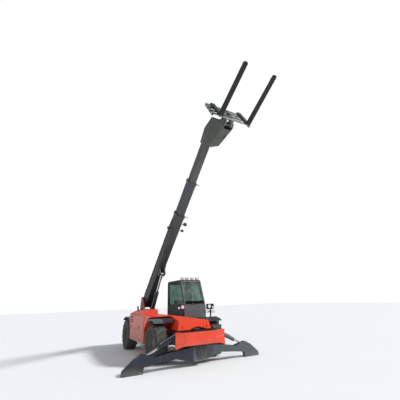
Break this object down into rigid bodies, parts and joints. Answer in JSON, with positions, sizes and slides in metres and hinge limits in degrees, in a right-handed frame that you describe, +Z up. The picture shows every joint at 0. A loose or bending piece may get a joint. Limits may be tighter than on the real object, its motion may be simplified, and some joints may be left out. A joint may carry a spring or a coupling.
{
  "type": "telehandler",
  "caption": "Rigid telehandler with a telescopic boom raised to the front, pallet forks, side cab, engine pod and crossing front stabilizers.",
  "frame": {"origin": "on the ground, midway between the axles, in the centre plane of the wheels", "axes": "-Y forwards, +X to the machine's left (cab side), +Z up"},
  "size_m": [4.4, 9.0782, 7.257],
  "materials": {
    "lamp_black": "moulded dark grey plastic",
    "lamp_glass": "clear lamp lenses",
    "frame_paint": "satin dark red paint",
    "body_paint": "glossy orange-red paint",
    "axle_paint": "satin black paint",
    "fender_plastic": "moulded black plastic",
    "engine_paint": "dark grey engine paint",
    "cab_paint": "satin dark grey paint",
    "cab_glass": "tinted safety glass",
    "cab_trim": "grained black plastic",
    "seat_fabric": "black woven seat fabric",
    "weight_paint": "painted casting",
    "pin_steel": "ground steel",
    "boom_paint": "satin charcoal paint",
    "carriage_paint": "satin black paint, worn on the bars",
    "fork_paint": "black paint",
    "rod_chrome": "hard chrome",
    "leg_paint": "satin navy-black paint",
    "rim_paint": "light grey rim paint",
    "tyre": "worn rubber"
  },
  "bodies": {
    "chassis": {"chassis_frame": "frame_paint", "stabilizer_mount": "frame_paint", "front_beam": "body_paint", "front_body": "body_paint", "axle_beams": "axle_paint", "driveline": "axle_paint", "fenders": "fender_plastic", "engine_pod": "body_paint", "engine_block": "engine_paint", "cab_shell": "cab_paint", "cab_glass": "cab_glass", "cab_interior": "cab_trim", "seat_cushions": "seat_fabric", "fuel_tank": "frame_paint", "lamps": "lamp_black", "lamp_lenses": "lamp_glass", "counterweight": "weight_paint", "frame_pins": "pin_steel", "cab_mounts": "frame_paint"},
    "hood": {"engine_hood": "body_paint"},
    "door": {"cab_door": "cab_paint", "door_glass": "cab_glass"},
    "boom_1": {"boom_outer": "boom_paint"},
    "boom_2": {"boom_middle": "boom_paint"},
    "boom_3": {"boom_inner": "boom_paint"},
    "carriage": {"fork_carriage": "carriage_paint", "forks": "fork_paint"},
    "lift_tube": {"lift_barrel": "boom_paint"},
    "lift_stem": {"lift_rod": "rod_chrome"},
    "tilt_tube": {"tilt_barrel": "boom_paint"},
    "tilt_stem": {"tilt_rod": "rod_chrome"},
    "steer_front_left": {"knuckle_front_left": "axle_paint"},
    "wheel_front_left": {"rim_front_left": "rim_paint", "tyre_front_left": "tyre"},
    "steer_front_right": {"knuckle_front_right": "axle_paint"},
    "wheel_front_right": {"rim_front_right": "rim_paint", "tyre_front_right": "tyre"},
    "steer_rear_left": {"knuckle_rear_left": "axle_paint"},
    "wheel_rear_left": {"rim_rear_left": "rim_paint", "tyre_rear_left": "tyre"},
    "steer_rear_right": {"knuckle_rear_right": "axle_paint"},
    "wheel_rear_right": {"rim_rear_right": "rim_paint", "tyre_rear_right": "tyre"},
    "leg_left": {"stabilizer_left": "leg_paint"},
    "leg_tube_left": {"stab_barrel_left": "leg_paint"},
    "leg_stem_left": {"stab_rod_left": "rod_chrome"},
    "leg_right": {"stabilizer_right": "leg_paint"},
    "leg_tube_right": {"stab_barrel_right": "leg_paint"},
    "leg_stem_right": {"stab_rod_right": "rod_chrome"}
  },
  "joints": [
    {"name": "steer_front_left", "type": "hinge", "parent": "chassis", "child": "steer_front_left", "pos_m": [0.79, -1.535, 0.54], "axis": [0, 0, 1], "range_deg": [-28, 28]},
    {"name": "roll_front_left", "type": "hinge", "parent": "steer_front_left", "child": "wheel_front_left", "pos_m": [0.97, -1.535, 0.54], "axis": [1, 0, 0], "continuous": true},
    {"name": "steer_front_right", "type": "hinge", "parent": "chassis", "child": "steer_front_right", "pos_m": [-0.79, -1.535, 0.54], "axis": [0, 0, 1], "range_deg": [-28, 28]},
    {"name": "roll_front_right", "type": "hinge", "parent": "steer_front_right", "child": "wheel_front_right", "pos_m": [-0.97, -1.535, 0.54], "axis": [1, 0, 0], "continuous": true},
    {"name": "steer_rear_left", "type": "hinge", "parent": "chassis", "child": "steer_rear_left", "pos_m": [0.79, 1.535, 0.54], "axis": [0, 0, 1], "range_deg": [-28, 28]},
    {"name": "roll_rear_left", "type": "hinge", "parent": "steer_rear_left", "child": "wheel_rear_left", "pos_m": [0.97, 1.535, 0.54], "axis": [1, 0, 0], "continuous": true},
    {"name": "steer_rear_right", "type": "hinge", "parent": "chassis", "child": "steer_rear_right", "pos_m": [-0.79, 1.535, 0.54], "axis": [0, 0, 1], "range_deg": [-28, 28]},
    {"name": "roll_rear_right", "type": "hinge", "parent": "steer_rear_right", "child": "wheel_rear_right", "pos_m": [-0.97, 1.535, 0.54], "axis": [1, 0, 0], "continuous": true},
    {"name": "hood_lift", "type": "hinge", "parent": "chassis", "child": "hood", "pos_m": [-0.56, 0.231, 1.42], "axis": [0, 1, 0], "range_deg": [0, 60]},
    {"name": "door_swing", "type": "hinge", "parent": "chassis", "child": "door", "pos_m": [1.179, 0.342, 1.535], "axis": [0, 0, 1], "range_deg": [0, 82]},
    {"name": "boom_lift", "type": "hinge", "parent": "chassis", "child": "boom_1", "pos_m": [-0.17, 1.99, 1.757], "axis": [-1, 0, 0], "range_deg": [-44.1, 27.4]},
    {"name": "boom_slide_1", "type": "slide", "parent": "boom_1", "child": "boom_2", "axis": [0, -0.7593, 0.6508], "range_m": [-1.24, 1.9]},
    {"name": "boom_slide_2", "type": "slide", "parent": "boom_2", "child": "boom_3", "axis": [0, -0.7593, 0.6508], "range_m": [-1.24, 1.9]},
    {"name": "carriage_tilt", "type": "hinge", "parent": "boom_3", "child": "carriage", "pos_m": [-0.17, -4.90361, 6.46044], "axis": [1, 0, 0], "range_deg": [-22.4, 57.6]},
    {"name": "lift_tube_swing", "type": "hinge", "parent": "chassis", "child": "lift_tube", "pos_m": [-0.17, 1.6, 0.95], "axis": [-1, 0, 0], "range_deg": [-38.56, 24.25]},
    {"name": "lift_stem_slide", "type": "slide", "parent": "lift_tube", "child": "lift_stem", "axis": [0, -0.6035, 0.7974], "range_m": [-0.65, 0.4087]},
    {"name": "tilt_tube_swing", "type": "hinge", "parent": "boom_3", "child": "tilt_tube", "pos_m": [-0.17, -3.74358, 6.59225], "axis": [1, 0, 0], "range_deg": [-1.58, 3.95]},
    {"name": "tilt_stem_slide", "type": "slide", "parent": "tilt_tube", "child": "tilt_stem", "axis": [0, -0.9551, 0.2962], "range_m": [-0.1739, 0.4338]},
    {"name": "leg_swing_left", "type": "hinge", "parent": "chassis", "child": "leg_left", "pos_m": [0, -2.3545, 0.3], "axis": [0, 1, 0], "range_deg": [-27, 5]},
    {"name": "leg_tube_swing_left", "type": "hinge", "parent": "chassis", "child": "leg_tube_left", "pos_m": [0.62, -2.3545, 0.82], "axis": [0, 1, 0], "range_deg": [-42.59, 8.57]},
    {"name": "leg_stem_slide_left", "type": "slide", "parent": "leg_tube_left", "child": "leg_stem_left", "axis": [0.9121, 0, -0.41], "range_m": [-0.2724, 0.0548]},
    {"name": "leg_swing_right", "type": "hinge", "parent": "chassis", "child": "leg_right", "pos_m": [0, -2.5115, 0.3], "axis": [0, -1, 0], "range_deg": [-27, 5]},
    {"name": "leg_tube_swing_right", "type": "hinge", "parent": "chassis", "child": "leg_tube_right", "pos_m": [-0.62, -2.5115, 0.82], "axis": [0, -1, 0], "range_deg": [-42.59, 8.57]},
    {"name": "leg_stem_slide_right", "type": "slide", "parent": "leg_tube_right", "child": "leg_stem_right", "axis": [-0.9121, 0, -0.41], "range_m": [-0.2724, 0.0548]}
  ],
  "couplings": [
    {"joint": "steer_front_right", "follows": "steer_front_left", "ratio": 1},
    {"joint": "steer_rear_right", "follows": "steer_rear_left", "ratio": 1},
    {"joint": "boom_slide_2", "follows": "boom_slide_1", "ratio": 1},
    {"joint": "lift_tube_swing", "follows": "boom_lift", "ratio": 0.8573},
    {"joint": "lift_stem_slide", "follows": "boom_lift", "m_per_rad": 0.8279},
    {"joint": "tilt_tube_swing", "follows": "carriage_tilt", "ratio": 0.0672},
    {"joint": "tilt_stem_slide", "follows": "carriage_tilt", "m_per_rad": 0.423},
    {"joint": "leg_tube_swing_left", "follows": "leg_swing_left", "ratio": 1.5465},
    {"joint": "leg_stem_slide_left", "follows": "leg_swing_left", "m_per_rad": 0.5667},
    {"joint": "leg_tube_swing_right", "follows": "leg_swing_right", "ratio": 1.5465},
    {"joint": "leg_stem_slide_right", "follows": "leg_swing_right", "m_per_rad": 0.5667}
  ]
}
